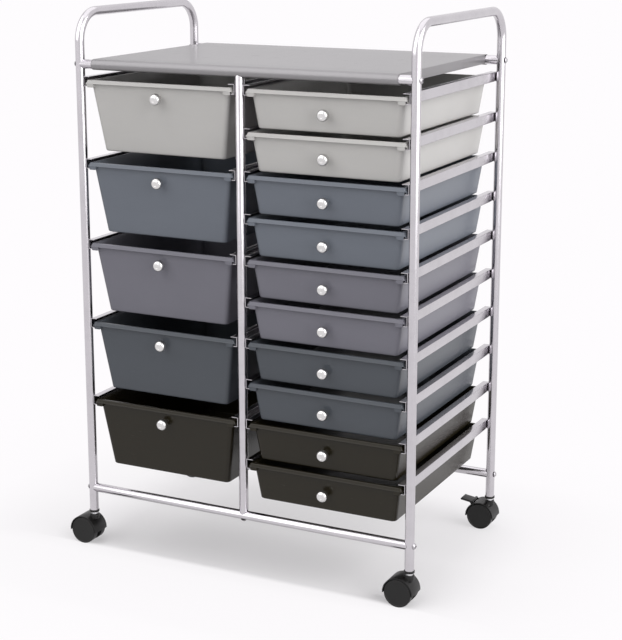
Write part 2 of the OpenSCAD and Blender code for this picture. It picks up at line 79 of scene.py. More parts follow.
TUBE_R = extent("top_front_bar", 2) / 2
LEG_X = middle("right_side_tube", 0)
LEG_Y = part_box("right_side_tube")[1].y - TUBE_R
FOOT_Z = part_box("right_side_tube")[0].z
HANDLE_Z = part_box("right_side_tube")[1].z - TUBE_R
TOP_BAR_Z = middle("top_front_bar", 2)
BOTTOM_BAR_Z = middle("bottom_front_bar", 2)
SEAT = 0.0001  # gap between faces that rest on each other


def linear(red, green, blue):
    """A screen colour, 0 to 255 a channel, in Blender's linear values."""
    steps = [channel / 255 for channel in (red, green, blue)]
    return tuple(s / 12.92 if s <= 0.04045 else ((s + 0.055) / 1.055) ** 2.4 for s in steps)


def number_prop(name, description, default, unit="NONE", **more):
    return bpy.props.FloatProperty(name=name, description=description, default=default,
                                   unit=unit, **more)


def size_prop(name, description, default):
    return number_prop(name, description, default, "LENGTH", min=0.0, precision=4)


def angle_prop(name, description, degrees):
    return number_prop(name, description, math.radians(degrees), "ROTATION")


def colour_prop(name, description, rgb):
    return bpy.props.FloatVectorProperty(name=name, description=description, size=3,
                                         default=linear(*rgb), min=0.0, max=1.0, subtype="COLOR")


class FrameSizes(bpy.types.PropertyGroup):
    """Sizes of the tubes, bars, rails and bolts."""
    bend_radius: size_prop("Bend radius", "Radius of the handle bends on the centreline", 0.050)
    cope_gap: size_prop("Cope gap", "Gap between a bar's coped end and the leg", 0.0003)
    rail_wall: size_prop("Rail wall", "Thickness of the rails' sheet steel", 0.001)
    rail_fold: size_prop("Rail fold", "Outer radius of the rails' folds", 0.0016)
    rail_height: size_prop("Rail height", "Height of a rail channel", 0.017)
    bolt_head: size_prop("Bolt head", "Diameter of the domed bolt heads", 0.011)
    bolt_dome: size_prop("Bolt dome", "Height of the domed bolt heads", 0.0032)
    bolt_key: size_prop("Key socket", "Width across the bolts' hexagon sockets", 0.004)


class PanelSizes(bpy.types.PropertyGroup):
    """Sizes of the top panel."""
    skin: size_prop("Skin", "Thickness of the panel", 0.0011)
    skirt: size_prop("Skirt", "Depth of the turned-down ends", 0.016)
    rib_depth: size_prop("Rib depth", "Depth of the ribs underneath", 0.007)
    rib_width: size_prop("Rib width", "Width of the ribs underneath", 0.0015)
    rib_bays: bpy.props.IntProperty(name="Rib bays", default=6, min=1,
                                    description="Bays between the cross ribs")


class DrawerSizes(bpy.types.PropertyGroup):
    """Sizes of the drawers and knobs."""
    wall: size_prop("Wall", "Thickness of walls, rim and floor", 0.0018)
    corner: size_prop("Corner", "Radius of the upright corners", 0.008)
    floor_edge: size_prop("Floor edge", "Radius between the floor and the walls", 0.0025)
    side_lean: angle_prop("Side lean", "Lean of the side walls", 8)
    front_lean: angle_prop("Front lean", "Lean of the front and rear walls", 6.5)
    rim_rise: size_prop("Rim rise", "Height of the rim above the rail's middle", 0.0025)
    lip_height: size_prop("Lip height", "Height of the front lip", 0.0065)
    lip_width: size_prop("Lip width", "Distance of the front wall behind the lip", 0.005)
    flare: size_prop("Flare", "Outward flare of the rim's skirts", 0.0033)
    body_inset: size_prop("Body inset", "Distance of the body inside the rim's skirts", 0.008)
    bow: size_prop("Wall bow", "Inward bow of the walls at mid-height", 0.0006)
    tab_width: size_prop("Tab width", "Width of a stop tab", 0.013)
    tab_height: size_prop("Tab height", "Height of a stop tab below the lip", 0.006)
    deep_knob_drop: size_prop("Deep knob drop", "Drop of a deep drawer's knob", 0.022)
    rail_play: size_prop("Rail play", "Free space between a body and its rails", 0.0008)
    knob: size_prop("Knob", "Diameter of the knobs", 0.0195)
    knob_depth: size_prop("Knob depth", "Thickness of the knobs", 0.015)
    knob_reach: size_prop("Knob reach", "Distance of a knob's middle from the drawer", 0.012)
    knob_neck: size_prop("Knob neck", "Diameter of the neck", 0.008)
    knob_screw: size_prop("Knob screw", "Diameter of the screw's head", 0.007)


class CasterSizes(bpy.types.PropertyGroup):
    """Sizes of the casters."""
    trail: size_prop("Trail", "Distance of the axle behind the swivel", 0.014)
    wheel: size_prop("Wheel", "Diameter of the wheels", 0.048)
    tread: size_prop("Tread", "Width of one wheel", 0.012)
    web: size_prop("Web", "Thickness of the web between the wheels", 0.012)
    face_gap: size_prop("Face gap", "Gap between faces that turn past each other", 0.0003)
    stem: size_prop("Stem", "Diameter of the stems", 0.008)
    neck: size_prop("Neck", "Height of steel neck that the hoods' bosses leave free", 0.0036)
    ring: size_prop("Ring", "Height added to the sockets' black rings", 0.0012)
    edge: size_prop("Edge", "Radius of the hoods' and levers' edges", 0.0007)


class Finish(bpy.types.PropertyGroup):
    """Colours of the materials."""
    chrome: colour_prop("Chrome", "Chromed tubes and rails", (201, 198, 202))
    knob: colour_prop("Knob", "Balls of the knobs", (216, 215, 214))
    steel: colour_prop("Steel", "Stems, axles and screws", (224, 224, 226))
    panel: colour_prop("Panel", "Top panel", (140, 138, 140))
    nylon: colour_prop("Nylon", "Hoods, sockets and levers", (11, 10, 10))
    wheel: colour_prop("Wheel", "Wheels", (9, 9, 8))
    mist: colour_prop("Mist", "Drawers of the first row", (192, 190, 188))
    slate: colour_prop("Slate", "Drawers of the second row", (110, 115, 124))
    heather: colour_prop("Heather", "Drawers of the third row", (116, 115, 124))
    storm: colour_prop("Storm", "Drawers of the fourth row", (79, 83, 89))
    coal: colour_prop("Coal", "Drawers of the fifth row", (35, 31, 21))


class StageSettings(bpy.types.PropertyGroup):
    """Camera, floor and light."""
    focal: number_prop("Focal length", "Focal length for a 36 mm sensor", 89.45, "CAMERA")
    camera_x: number_prop("Camera X", "Camera place to the right", 1.2566, "LENGTH")
    camera_y: number_prop("Camera Y", "Camera place to the back", -2.4634, "LENGTH")
    camera_z: number_prop("Camera Z", "Camera height", 1.1250, "LENGTH")
    turn: angle_prop("Turn", "Turn of the camera round the tower", 26.390)
    tilt: angle_prop("Tilt", "Downward tilt of the camera", 12.796)
    shift: number_prop("Shift", "Vertical shift of the picture", -0.075)
    floor: colour_prop("Floor", "Floor and backdrop", (254, 252, 254))
    overhead: number_prop("Overhead", "Power of the overhead softbox", 17.0, "POWER")
    front: number_prop("Front", "Power of the front softbox", 98.0, "POWER")
    side: number_prop("Side", "Power of the right-hand softbox", 150.0, "POWER")
    sky: number_prop("Sky", "Strength of the light from all round", 0.38, min=0.0)


GROUPS = {
    "tower_frame": FrameSizes,
    "tower_panel": PanelSizes,
    "tower_drawer": DrawerSizes,
    "tower_caster": CasterSizes,
    "tower_finish": Finish,
    "tower_stage": StageSettings,
}


def settings(group):
    return getattr(bpy.context.scene, group)


# ---------------------------------------------------------------- node graphs

def math_method(operation, swapped=False):
    """A method that adds one Math node for its two values."""
    def method(self, other):
        values = (other, self) if swapped else (self, other)
        return self.graph.node("ShaderNodeMath", {"operation": operation}, values)
    return method


class Value:
    """A node's output in a Python expression: each operation adds one Math node."""

    def __init__(self, graph, socket):
        self.graph = graph
        self.socket = socket

    __add__ = __radd__ = math_method("ADD")
    __mul__ = __rmul__ = math_method("MULTIPLY")
    __rsub__ = math_method("SUBTRACT", swapped=True)
    __truediv__ = math_method("DIVIDE")
    __pow__ = math_method("POWER")
    larger = math_method("MAXIMUM")
    smaller = math_method("MINIMUM")


class Graph:
    """Adds nodes to a shader or geometry tree."""

    def __init__(self, tree):
        self.tree = tree

    def link(self, socket, value):
        if isinstance(value, Value):
            self.tree.links.new(value.socket, socket)
        elif hasattr(socket, "default_value"):
            whole = getattr(socket, "type", "") == "INT"
            socket.default_value = int(value) if whole else value

    def make(self, kind, options=None, inputs=()):
        """A node, with its settings made first and then its inputs, by place or by name."""
        made = self.tree.nodes.new(kind)
        for key, value in (options or {}).items():
            if key == "stops":
                ramp = made.color_ramp
                while len(ramp.elements) < len(value):
                    ramp.elements.new(0.5)
                for element, (place, colour) in zip(ramp.elements, value):
                    element.position = place
                    grey = isinstance(colour, (int, float))
                    element.color = (colour,) * 3 + (1,) if grey else (*colour[:3], 1)
            else:
                setattr(made, key, value)
        pairs = inputs.items() if isinstance(inputs, dict) else enumerate(inputs)
        for key, value in pairs:
            self.link(made.inputs[key], value)
        return made

    def node(self, kind, options=None, inputs=(), output=0):
        """One output of a new node, ready for an expression."""
        return Value(self, self.make(kind, options, inputs).outputs[output])


class Shader(Graph):
    """A material's tree, with the patterns that this tower's finishes share."""

    def __init__(self, name):
        self.material = bpy.data.materials.new(name)
        self.material.use_nodes = True
        super().__init__(self.material.node_tree)
        self.tree.nodes.clear()
        self.place = self.node("ShaderNodeTexCoord", output="Object")

    def noise(self, scale, detail=2.0, roughness=0.5, place=None):
        return self.node("ShaderNodeTexNoise", {}, {
            "Vector": place or self.place, "Scale": scale, "Detail": detail,
            "Roughness": roughness})

    def stretched(self, x, y, z):
        """The object's coordinates, stretched along each axis."""
        return self.node("ShaderNodeMapping", {}, {"Vector": self.place, "Scale": (x, y, z)})

    def ramp(self, value, *stops):
        """A grey value run through a ramp."""
        return self.node("ShaderNodeValToRGB", {"stops": stops}, {"Fac": value})

    def patches(self, low, high, *pattern):
        """Noise that rises from 0 to 1 between two of its values."""
        return self.ramp(self.noise(*pattern), (low, 0.0), (high, 1.0))

    def mix(self, share, first, second):
        """Two colours mixed by a share."""
        return self.node("ShaderNodeMix", {"data_type": "RGBA"},
                         {0: share, 6: rgba(first), 7: rgba(second)}, output=2)

    def surface(self, colour, roughness, height=None, depth=0.0001, constants=None):
        """Ends the tree in a Principled surface, with an optional bump."""
        made = self.make("ShaderNodeBsdfPrincipled", {}, {
            **(constants or {}), "Base Color": rgba(colour), "Roughness": roughness})
        if height is not None:
            bump = self.node("ShaderNodeBump", {}, {"Distance": depth, "Height": height})
            self.link(made.inputs["Normal"], bump)
        end = self.make("ShaderNodeOutputMaterial")
        self.tree.links.new(made.outputs[0], end.inputs["Surface"])
        return self.material


def rgba(colour):
    return colour if isinstance(colour, Value) else (*colour[:3], 1.0)


def shade(colour, factor):
    """A colour made darker or lighter."""
    return tuple(min(1.0, c * factor) for c in colour)


# ---------------------------------------------------------------- finishes

def chrome_finish(name, colour, gloss=0.16, wave=0.00003):
    """Bright plating: smudges and hazy patches in the gloss, and a faint waviness."""
    s = Shader(name)
    haze = s.patches(0.42, 0.72, 38.0, 5.0, 0.6)
    smudge = s.patches(0.48, 0.66, 9.0, 3.0, 0.55)
    pits = s.patches(0.70, 0.78, 900.0, 1.0)
    roughness = gloss + haze * 0.05 + smudge * 0.06 + pits * 0.10
    tone = s.mix(haze * 0.5 + pits * 0.35, colour, shade(colour, 0.86))
    height = s.noise(26.0, 2.0) + s.noise(420.0, 2.0) * 0.06
    return s.surface(tone, roughness, height, wave, {"Metallic": 1.0})


def rail_finish(name, colour):
    """Plated sheet steel with the fine lines of the rolls along its length."""
    s = Shader(name)
    lines = s.noise(1.0, 4.0, 0.65, s.stretched(700.0, 3.0, 1100.0))
    haze = s.patches(0.40, 0.74, 24.0, 4.0, 0.6)
    roughness = 0.15 + haze * 0.08 + lines * 0.07
    tone = s.mix(haze * 0.4 + lines * 0.3, colour, shade(colour, 0.84))
    height = lines * 0.3 + s.noise(18.0, 2.0)
    return s.surface(tone, roughness, height, 0.00004, {"Metallic": 1.0})


def steel_finish(name, colour):
    """Drawn steel with turning marks."""
    s = Shader(name)
    marks = s.noise(1.0, 3.0, 0.6, s.stretched(300.0, 300.0, 2600.0))
    return s.surface(s.mix(marks, shade(colour, 0.8), colour), 0.24 + marks * 0.14,
                     marks, 0.00002, {"Metallic": 1.0})


def drawer_finish(name, colour):
    """Moulded plastic with a satin gloss: cloudy colour, faint flow lines and scuffs."""
    s = Shader(name)
    cloud = s.noise(7.0, 3.0, 0.5)
    flow = s.noise(1.0, 3.0, 0.55, s.stretched(16.0, 16.0, 55.0))
    speck = s.noise(1400.0, 2.0, 0.6)
    scuff = s.patches(0.66, 0.80, 1.0, 5.0, 0.7, s.stretched(60.0, 420.0, 520.0))
    tone = s.mix(cloud * 0.55 + flow * 0.25 + speck * 0.20, shade(colour, 0.90),
                 shade(colour, 1.10))
    tone = s.mix(scuff * 0.22, tone, shade(colour, 1.35))
    roughness = 0.20 + cloud * 0.05 + speck * 0.04 + scuff * 0.14
    height = s.noise(340.0, 2.0, 0.5) + cloud * 2.0 + speck * 0.15
    return s.surface(tone, roughness, height, 0.00003, {"Specular IOR Level": 0.26})


def panel_finish(name, colour):
    """Silver-grey moulded sheet: a fine grain, faint streaks from front to back and dust."""
    s = Shader(name)
    streak = s.noise(1.0, 4.0, 0.6, s.stretched(90.0, 5.0, 40.0))
    grain = s.noise(1700.0, 2.0, 0.6)
    cloud = s.noise(5.0, 3.0, 0.5)
    wear = s.patches(0.60, 0.76, 44.0, 5.0, 0.65)
    tone = s.mix(streak * 0.4 + grain * 0.3 + cloud * 0.3, shade(colour, 0.88),
                 shade(colour, 1.12))
    roughness = 0.33 + grain * 0.08 + streak * 0.05 + wear * 0.10
    height = grain * 0.4 + s.noise(260.0, 2.0) + cloud * 3.0
    return s.surface(tone, roughness, height, 0.00004, {
        "Metallic": 0.6, "Coat Weight": 0.15, "Coat Roughness": 0.15})


def nylon_finish(name, colour, worn=0.0):
    """Black moulded nylon with a leathery grain, and paler scuffs where it is worn."""
    s = Shader(name)
    grain = s.node("ShaderNodeTexVoronoi", {"feature": "SMOOTH_F1"},
                   {"Vector": s.place, "Scale": 1500.0})
    cloud = s.noise(60.0, 3.0, 0.55)
    scuff = s.patches(0.58 - worn * 0.1, 0.74, 220.0, 5.0, 0.7)
    tone = s.mix(cloud, shade(colour, 0.82), shade(colour, 1.25))
    tone = s.mix(scuff * (0.25 + worn), tone, shade(colour, 2.6))
    roughness = 0.34 + cloud * 0.10 + scuff * 0.16
    return s.surface(tone, roughness, grain + cloud * 0.5, 0.00006,
                     {"Specular IOR Level": 0.36})


def make_finishes():
    """The tower's materials, by record slot."""
    tint = settings("tower_finish")
    made = {
        "chromed_tube": chrome_finish("Chromed tube", tint.chrome),
        "rail_steel": rail_finish("Chromed rail", tint.chrome),
        "knob_silver": chrome_finish("Satin knob", tint.knob, 0.22, 0.00002),
        "axle_steel": steel_finish("Drawn steel", tint.steel),
        # The bolts' plating is a darker copy of the chrome: painted shade that tones down the
        # lamps' highlights on the domes
        "frame_bolt": chrome_finish("Plated bolt", shade(tint.chrome, 0.72), 0.34),
        "top_panel": panel_finish("Silver-grey panel", tint.panel),
        "caster_black": nylon_finish("Caster nylon", tint.nylon),
        "wheel_black": nylon_finish("Wheel nylon", tint.wheel, 0.3),
    }
    for name in ROW_COLOURS:
        made["drawer_" + name] = drawer_finish(name.title() + " plastic", getattr(tint, name))
    return made


FINISHES = {}


def finish(slot):
    if not FINISHES:
        FINISHES.update(make_finishes())
    return FINISHES[slot]


# ---------------------------------------------------------------- meshes

def placed(name, data):
    """A new object that shows the data, linked to the scene."""
    made = bpy.data.objects.new(name, data)
    bpy.context.scene.collection.objects.link(made)
    return made


@contextmanager
def editing(mesh):
    """The mesh opened for bmesh's tools, and written back when they are done."""
    work = bmesh.new()
    work.from_mesh(mesh)
    yield work
    work.to_mesh(mesh)
    work.free()


def mesh_piece(name, verts, faces):
    """An object at the origin from points and faces."""
    mesh = bpy.data.meshes.new(name)
    mesh.from_pydata([tuple(map(float, v)) for v in verts], [], faces)
    mesh.update()
    return placed(name, mesh)


def settle(piece, slot, sharp=35.0, merge=2e-6):
    """Merges doubles, turns faces outwards, smooths all but sharp edges and gives a finish."""
    with editing(piece.data) as work:
        bmesh.ops.remove_doubles(work, verts=work.verts, dist=merge)
        bmesh.ops.recalc_face_normals(work, faces=work.faces)
        for face in work.faces:
            face.smooth = True
            face.material_index = 0
    piece.data.set_sharp_from_angle(angle=math.radians(sharp))
    piece.data.materials.clear()
    piece.data.materials.append(finish(slot))
    return piece


def deliver(piece, body, node):
    """Lets a finished piece ride on its body and stand for its CAD node."""
    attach(piece, body)
    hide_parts(node)
    return piece


def finished(piece, body, node, slot, sharp):
    """Settles a piece with its slot's finish, and delivers it."""
    return deliver(settle(piece, slot, sharp), body, node)


def baked(piece, name):
    """The piece with its modifiers worked into a plain mesh, as a new object."""
    graph = bpy.context.evaluated_depsgraph_get()
    mesh = bpy.data.meshes.new_from_object(piece.evaluated_get(graph), depsgraph=graph)
    mesh.name = name
    bpy.data.objects.remove(piece)
    return placed(name, mesh)


def joined(name, pieces):
    """Several mesh objects as one."""
    work = bmesh.new()
    for piece in pieces:
        work.from_mesh(piece.data)
    mesh = bpy.data.meshes.new(name)
    work.to_mesh(mesh)
    work.free()
    for piece in pieces:
        bpy.data.objects.remove(piece)
    return placed(name, mesh)


def quarter(steps):
    """Even steps round a quarter turn, as what is left of the way across and what is gained
    along: from (1, 0) to (0, 1)."""
    angles = [math.pi / 2 * k / steps for k in range(steps + 1)]
    return [(1 - math.sin(a), 1 - math.cos(a)) for a in angles]


def rounded(points, radii, steps=4, closed=False):
    """A flat outline with each corner rounded to its own radius."""
    points = [np.array(p, float) for p in points]
    if np.isscalar(radii):
        radii = [radii] * len(points)
    out = []
    for i, (corner, radius) in enumerate(zip(points, radii)):
        at_end = not closed and i in (0, len(points) - 1)
        if radius <= 0 or at_end:
            out.append(corner)
            continue
        back = points[i - 1] - corner
        ahead = points[(i + 1) % len(points)] - corner
        back_l, ahead_l = np.linalg.norm(back), np.linalg.norm(ahead)
        back, ahead = back / back_l, ahead / ahead_l
        half = math.acos(max(-1.0, min(1.0, float(back @ ahead)))) / 2
        run = min(radius / math.tan(half), 0.49 * back_l, 0.49 * ahead_l)
        bisector = (back + ahead) / np.linalg.norm(back + ahead)
        centre = corner + bisector * run / math.cos(half)
        first, last = corner + back * run - centre, corner + ahead * run - centre
        sweep = math.acos(max(-1.0, min(1.0, float(first @ last) / float(first @ first))))
        for k in range(steps + 1):
            t = k / steps
            arc = (math.sin((1 - t) * sweep) * first + math.sin(t * sweep) * last)
            out.append(centre + arc / math.sin(sweep))
    return out


def lofted(name, rings, caps=True):
    """A closed skin over rings of equal length, each end closed by a fan."""
    count = len(rings[0])
    verts = [p for ring in rings for p in ring]
    faces = []
    for i in range(len(rings) - 1):
        for j in range(count):
            k = (j + 1) % count
            faces.append((i * count + j, i * count + k, (i + 1) * count + k,
                          (i + 1) * count + j))
    if caps:
        for start in (0, (len(rings) - 1) * count):
            verts.append(np.mean(verts[start:start + count], axis=0))
            hub = len(verts) - 1
            faces += [(hub, start + j, start + (j + 1) % count) for j in range(count)]
    return mesh_piece(name, verts, faces)


def turned(name, outline, centre, axis, steps=48, closed=False):
    """A turned piece from an outline of (radius, distance along the axis)."""
    axis = Vector(axis).normalized()
    across = axis.orthogonal().normalized()
    other = axis.cross(across)
    rings = []
    for k in range(steps):
        a = math.tau * k / steps
        spoke = across * math.cos(a) + other * math.sin(a)
        rings.append([Vector(centre) + spoke * r + axis * s for r, s in outline])
    count = len(outline)
    verts = [p for ring in rings for p in ring]
    faces = []
    for k in range(steps):
        after = (k + 1) % steps
        for j in range(count if closed else count - 1):
            i = (j + 1) % count
            faces.append((k * count + j, after * count + j, after * count + i, k * count + i))
    piece = mesh_piece(name, verts, faces)
    if not closed:
        # The first and last points lie on the axis, so their rings shrink to a pole
        with editing(piece.data) as work:
            bmesh.ops.remove_doubles(work, verts=work.verts, dist=1e-7)
            bmesh.ops.dissolve_degenerate(work, dist=1e-8, edges=work.edges)
    return piece


def block(name, low, high, edge=0.0004, steps=2):
    """A box with rounded edges."""
    work = bmesh.new()
    bmesh.ops.create_cube(work, size=1.0)
    size, centre = Vector(high) - Vector(low), (Vector(high) + Vector(low)) / 2
    for v in work.verts:
        v.co = Vector((v.co.x * size.x, v.co.y * size.y, v.co.z * size.z)) + centre
    bmesh.ops.bevel(work, geom=work.edges[:], offset=edge, segments=steps, affect="EDGES",
                    profile=0.5)
    mesh = bpy.data.meshes.new(name)
    work.to_mesh(mesh)
    work.free()
    return placed(name, mesh)


def wires(name, points, closed=False):
    """A mesh of one run of edges, for Geometry Nodes to work on."""
    mesh = bpy.data.meshes.new(name)
    edges = [(i, i + 1) for i in range(len(points) - 1)]
    if closed:
        edges.append((len(points) - 1, 0))
    mesh.from_pydata([tuple(map(float, p)) for p in points], edges, [])
    return placed(name, mesh)


# ---------------------------------------------------------------- Geometry Nodes

class Geometry(Graph):
    """A Geometry Nodes tree with named inputs, which ends in real faces with a material."""

    def __init__(self, name, inputs):
        super().__init__(bpy.data.node_groups.new(name, "GeometryNodeTree"))
        face = self.tree.interface
        face.new_socket("Geometry", in_out="OUTPUT", socket_type="NodeSocketGeometry")
        face.new_socket("Geometry", in_out="INPUT", socket_type="NodeSocketGeometry")
        for label, kind in inputs.items():
            face.new_socket(label, in_out="INPUT", socket_type="NodeSocket" + kind)
        face.new_socket("Material", in_out="INPUT", socket_type="NodeSocketMaterial")
        self.entry = self.tree.nodes.new("NodeGroupInput")

    def given(self, label):
        return Value(self, self.entry.outputs[label])

    def end(self, shape):
        real = self.node("GeometryNodeRealizeInstances", {}, (shape,))
        painted = self.node("GeometryNodeSetMaterial", {},
                            {"Geometry": real, "Material": self.given("Material")})
        exit_node = self.tree.nodes.new("NodeGroupOutput")
        self.tree.links.new(painted.socket, exit_node.inputs[0])
        return self.tree


def tube_tree():
    """A run of edges, its corners bent to a radius, becomes a round tube with closed ends."""
    g = Geometry("Bent tube", {"Tube Radius": "Float", "Bend Radius": "Float",
                               "Bend Steps": "Int", "Sides": "Int"})
    line = g.node("GeometryNodeMeshToCurve", {}, (g.given("Geometry"),))
    bent = g.node("GeometryNodeFilletCurve", {"mode": "POLY"}, {
        "Curve": line, "Count": g.given("Bend Steps"), "Radius": g.given("Bend Radius")})
    ring = g.node("GeometryNodeCurvePrimitiveCircle", {"mode": "RADIUS"}, {
        "Resolution": g.given("Sides"), "Radius": g.given("Tube Radius")})
    return g.end(g.node("GeometryNodeCurveToMesh", {}, {
        "Curve": bent, "Profile Curve": ring, "Fill Caps": True}))


def rail_tree():
    """A flat profile is drawn out to a length and repeated down a row."""
    g = Geometry("Rail stack", {"Length": "Float", "Count": "Int", "Step": "Float"})
    base = g.given("Geometry")
    along = g.node("ShaderNodeCombineXYZ", {}, {"Y": g.given("Length")})
    drawn = g.node("GeometryNodeExtrudeMesh", {"mode": "FACES"}, {
        "Mesh": base, "Offset": along, "Offset Scale": 1.0, "Individual": False})
    foot = g.node("GeometryNodeFlipFaces", {}, (base,))
    joint = g.make("GeometryNodeJoinGeometry")
    g.tree.links.new(foot.socket, joint.inputs[0])
    g.tree.links.new(drawn.socket, joint.inputs[0])
    rail = g.node("GeometryNodeMergeByDistance", {}, {
        "Geometry": Value(g, joint.outputs[0]), "Distance": 1e-6})
    down = g.node("ShaderNodeCombineXYZ", {}, {"Z": 0 - g.given("Step")})
    points = g.node("GeometryNodeMeshLine", {"mode": "OFFSET"}, {
        "Count": g.given("Count"), "Offset": down})
    return g.end(g.node("GeometryNodeInstanceOnPoints", {}, {
        "Points": points, "Instance": rail}))


def scatter_tree():
    """Copies of one object at each point, turned by the points' own angles."""
    g = Geometry("Fasteners", {"Copy": "Object"})
    copy = g.node("GeometryNodeObjectInfo", {}, {"Object": g.given("Copy")}, output="Geometry")
    turn = g.node("GeometryNodeInputNamedAttribute", {"data_type": "FLOAT_VECTOR"},
                  {"Name": "turn"})
    return g.end(g.node("GeometryNodeInstanceOnPoints", {}, {
        "Points": g.given("Geometry"), "Instance": copy, "Rotation": turn}))


def run_tree(piece, tree, name, **inputs):
    """Runs a tree on a piece with its inputs set, and returns the plain result."""
    modifier = piece.modifiers.new("Shape", "NODES")
    modifier.node_group = tree
    labels = {item.name: item.identifier for item in tree.interface.items_tree
              if item.in_out == "INPUT"}
    for label, value in inputs.items():
        modifier[labels[label.replace("_", " ").title()]] = value
    return baked(piece, name)


TREES = {}


def tree(maker):
    """A Geometry Nodes tree, built the first time it is asked for."""
    if maker.__name__ not in TREES:
        TREES[maker.__name__] = maker()
    return TREES[maker.__name__]


def scatter(name, copy, places, slot):
    """Copies of a piece at (place, turn) pairs, as one mesh."""
    points = mesh_piece(name + "_points", [place for place, _ in places], [])
    turns = points.data.attributes.new("turn", "FLOAT_VECTOR", "POINT")
    turns.data.foreach_set("vector", np.array([turn for _, turn in places], float).ravel())
    made = run_tree(points, tree(scatter_tree), name, copy=copy, material=finish(slot))
    bpy.data.objects.remove(copy)
    return made


# ---------------------------------------------------------------- frame pieces

def side_tube(side):
    """One bent tube: two legs and the handle between them."""
    x = SIDES[side] * LEG_X
    corners = [(x, -LEG_Y, FOOT_Z), (x, -LEG_Y, HANDLE_Z), (x, LEG_Y, HANDLE_Z),
               (x, LEG_Y, FOOT_Z)]
    made = run_tree(wires("path", corners), tree(tube_tree), side + "_bent_tube",
                    tube_radius=TUBE_R, bend_radius=settings("tower_frame").bend_radius,
                    bend_steps=28, sides=64, material=finish("chromed_tube"))
    return finished(made, "frame", side + "_side_tube", "chromed_tube", 50)


def coped_tube(name, centre, axis, half, cope_axis, low_cope, high_cope):
    """A straight tube whose two ends are hollowed to sit against round bars.

    half reaches from its middle to the bars' centrelines, cope_axis is the direction of the
    bars, and each cope is the radius of the hollow."""
    axis, along = Vector(axis), Vector(cope_axis)
    across = axis.cross(along)
    edge, sides = 0.0006, 64

    def ring(sign, cope, left, gained):
        points = []
        r, setback = TUBE_R - edge * left, edge * gained
        for k in range(sides):
            a = math.tau * k / sides
            u, v = r * math.cos(a), r * math.sin(a)
            reach = half - math.sqrt(max(cope * cope - v * v, 0.0)) - setback
            points.append(Vector(centre) + axis * sign * reach + along * u + across * v)
        return points

    steps = quarter(3)
    return lofted(name, [*(ring(-1, low_cope, *step) for step in steps),
                         *(ring(1, high_cope, *step) for step in reversed(steps))])


def cross_bar(end, level):
    """A top or bottom bar between the left and right legs."""
    node = f"{level}_{end}_bar"
    z = TOP_BAR_Z if level == "top" else BOTTOM_BAR_Z
    cope = TUBE_R + settings("tower_frame").cope_gap
    made = coped_tube(node + "_tube", (0, ENDS[end] * LEG_Y, z), (1, 0, 0), LEG_X,
                      (0, 0, 1), cope, cope)
    return finished(made, "frame", node, "chromed_tube", 50)


def centre_post(end):
    """The post between the two columns, hollowed over the bottom bar and under the panel."""
    gap = settings("tower_frame").cope_gap
    rolled = TUBE_R + settings("tower_panel").skin + gap
    middle_z, half = (TOP_BAR_Z + BOTTOM_BAR_Z) / 2, (TOP_BAR_Z - BOTTOM_BAR_Z) / 2
    made = coped_tube(end + "_post_tube", (0, ENDS[end] * LEG_Y, middle_z), (0, 0, 1), half,
                      (1, 0, 0), TUBE_R + gap, rolled)
    return finished(made, "frame", end + "_center_post", "chromed_tube", 50)


def rail_stack(node):
    """One column of folded channels on a pair of uprights."""
    sizes = settings("tower_frame")
    low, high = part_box(node)
    web_left = node in ("left_side_rails", "center_right_rails")
    web, tip = (low.x, high.x) if web_left else (high.x, low.x)
    inward = 1 if web_left else -1
    half, t, fold = sizes.rail_height / 2, sizes.rail_wall, sizes.rail_fold
    outline = [(tip, half), (web, half), (web, -half), (tip, -half), (tip, t - half),
               (web + inward * t, t - half), (web + inward * t, half - t), (tip, half - t)]
    lip = t * 0.3
    radii = [lip, fold, fold, lip, lip, fold - t, fold - t, lip]
    profile = rounded(outline, radii, 3, closed=True)
    top = high.z - half
    points = [(x, low.y, top + z) for x, z in profile]
    face = mesh_piece("profile", points, [tuple(range(len(points)))])
    # Its front looks away from the way it is drawn out
    if face.data.polygons[0].normal.y > 0:
        face.data.flip_normals()
    count = DEEP_ROWS if node in ("left_side_rails", "center_left_rails") else SHALLOW_ROWS
    step = (high.z - low.z - sizes.rail_height) / (count - 1)
    made = run_tree(face, tree(rail_tree), node + "_folded", length=high.y - low.y,
                    count=count, step=step, material=finish("rail_steel"))
    return finished(made, "frame", node, "rail_steel", 40)


def bolt_head():
    """A domed head with a hexagon socket, its crown towards -Z and its seat at z = 0."""
    sizes = settings("tower_frame")
    r, h, key = sizes.bolt_head / 2, sizes.bolt_dome, sizes.bolt_key / 2
    dome = (h * h + r * r) / (2 * h)
    underside, steps, depth = 0.55 * r, 7, h * 0.55
    turns = np.linspace(0, math.tau, 24, endpoint=False)

    def ring(radius, z):
        return [(radius * math.cos(b), radius * math.sin(b), z) for b in turns]

    def hexagon(z):
        flats = [(b + math.pi / 6) % (math.pi / 3) - math.pi / 6 for b in turns]
        return [(key / math.cos(flat) * math.cos(b), key / math.cos(flat) * math.sin(b), z)
                for b, flat in zip(turns, flats)]

    rings = [ring(underside, 0.0)]
    start, stop = math.asin(r / dome), math.asin(key * 1.22 / dome)
    for k in range(steps + 1):
        a = start + (stop - start) * k / steps
        rings.append(ring(dome * math.sin(a), -(dome * math.cos(a) - (dome - h))))
    rim_z = -h * 0.97
    rings += [hexagon(rim_z), hexagon(rim_z + depth)]
    return lofted("bolt_head", rings)


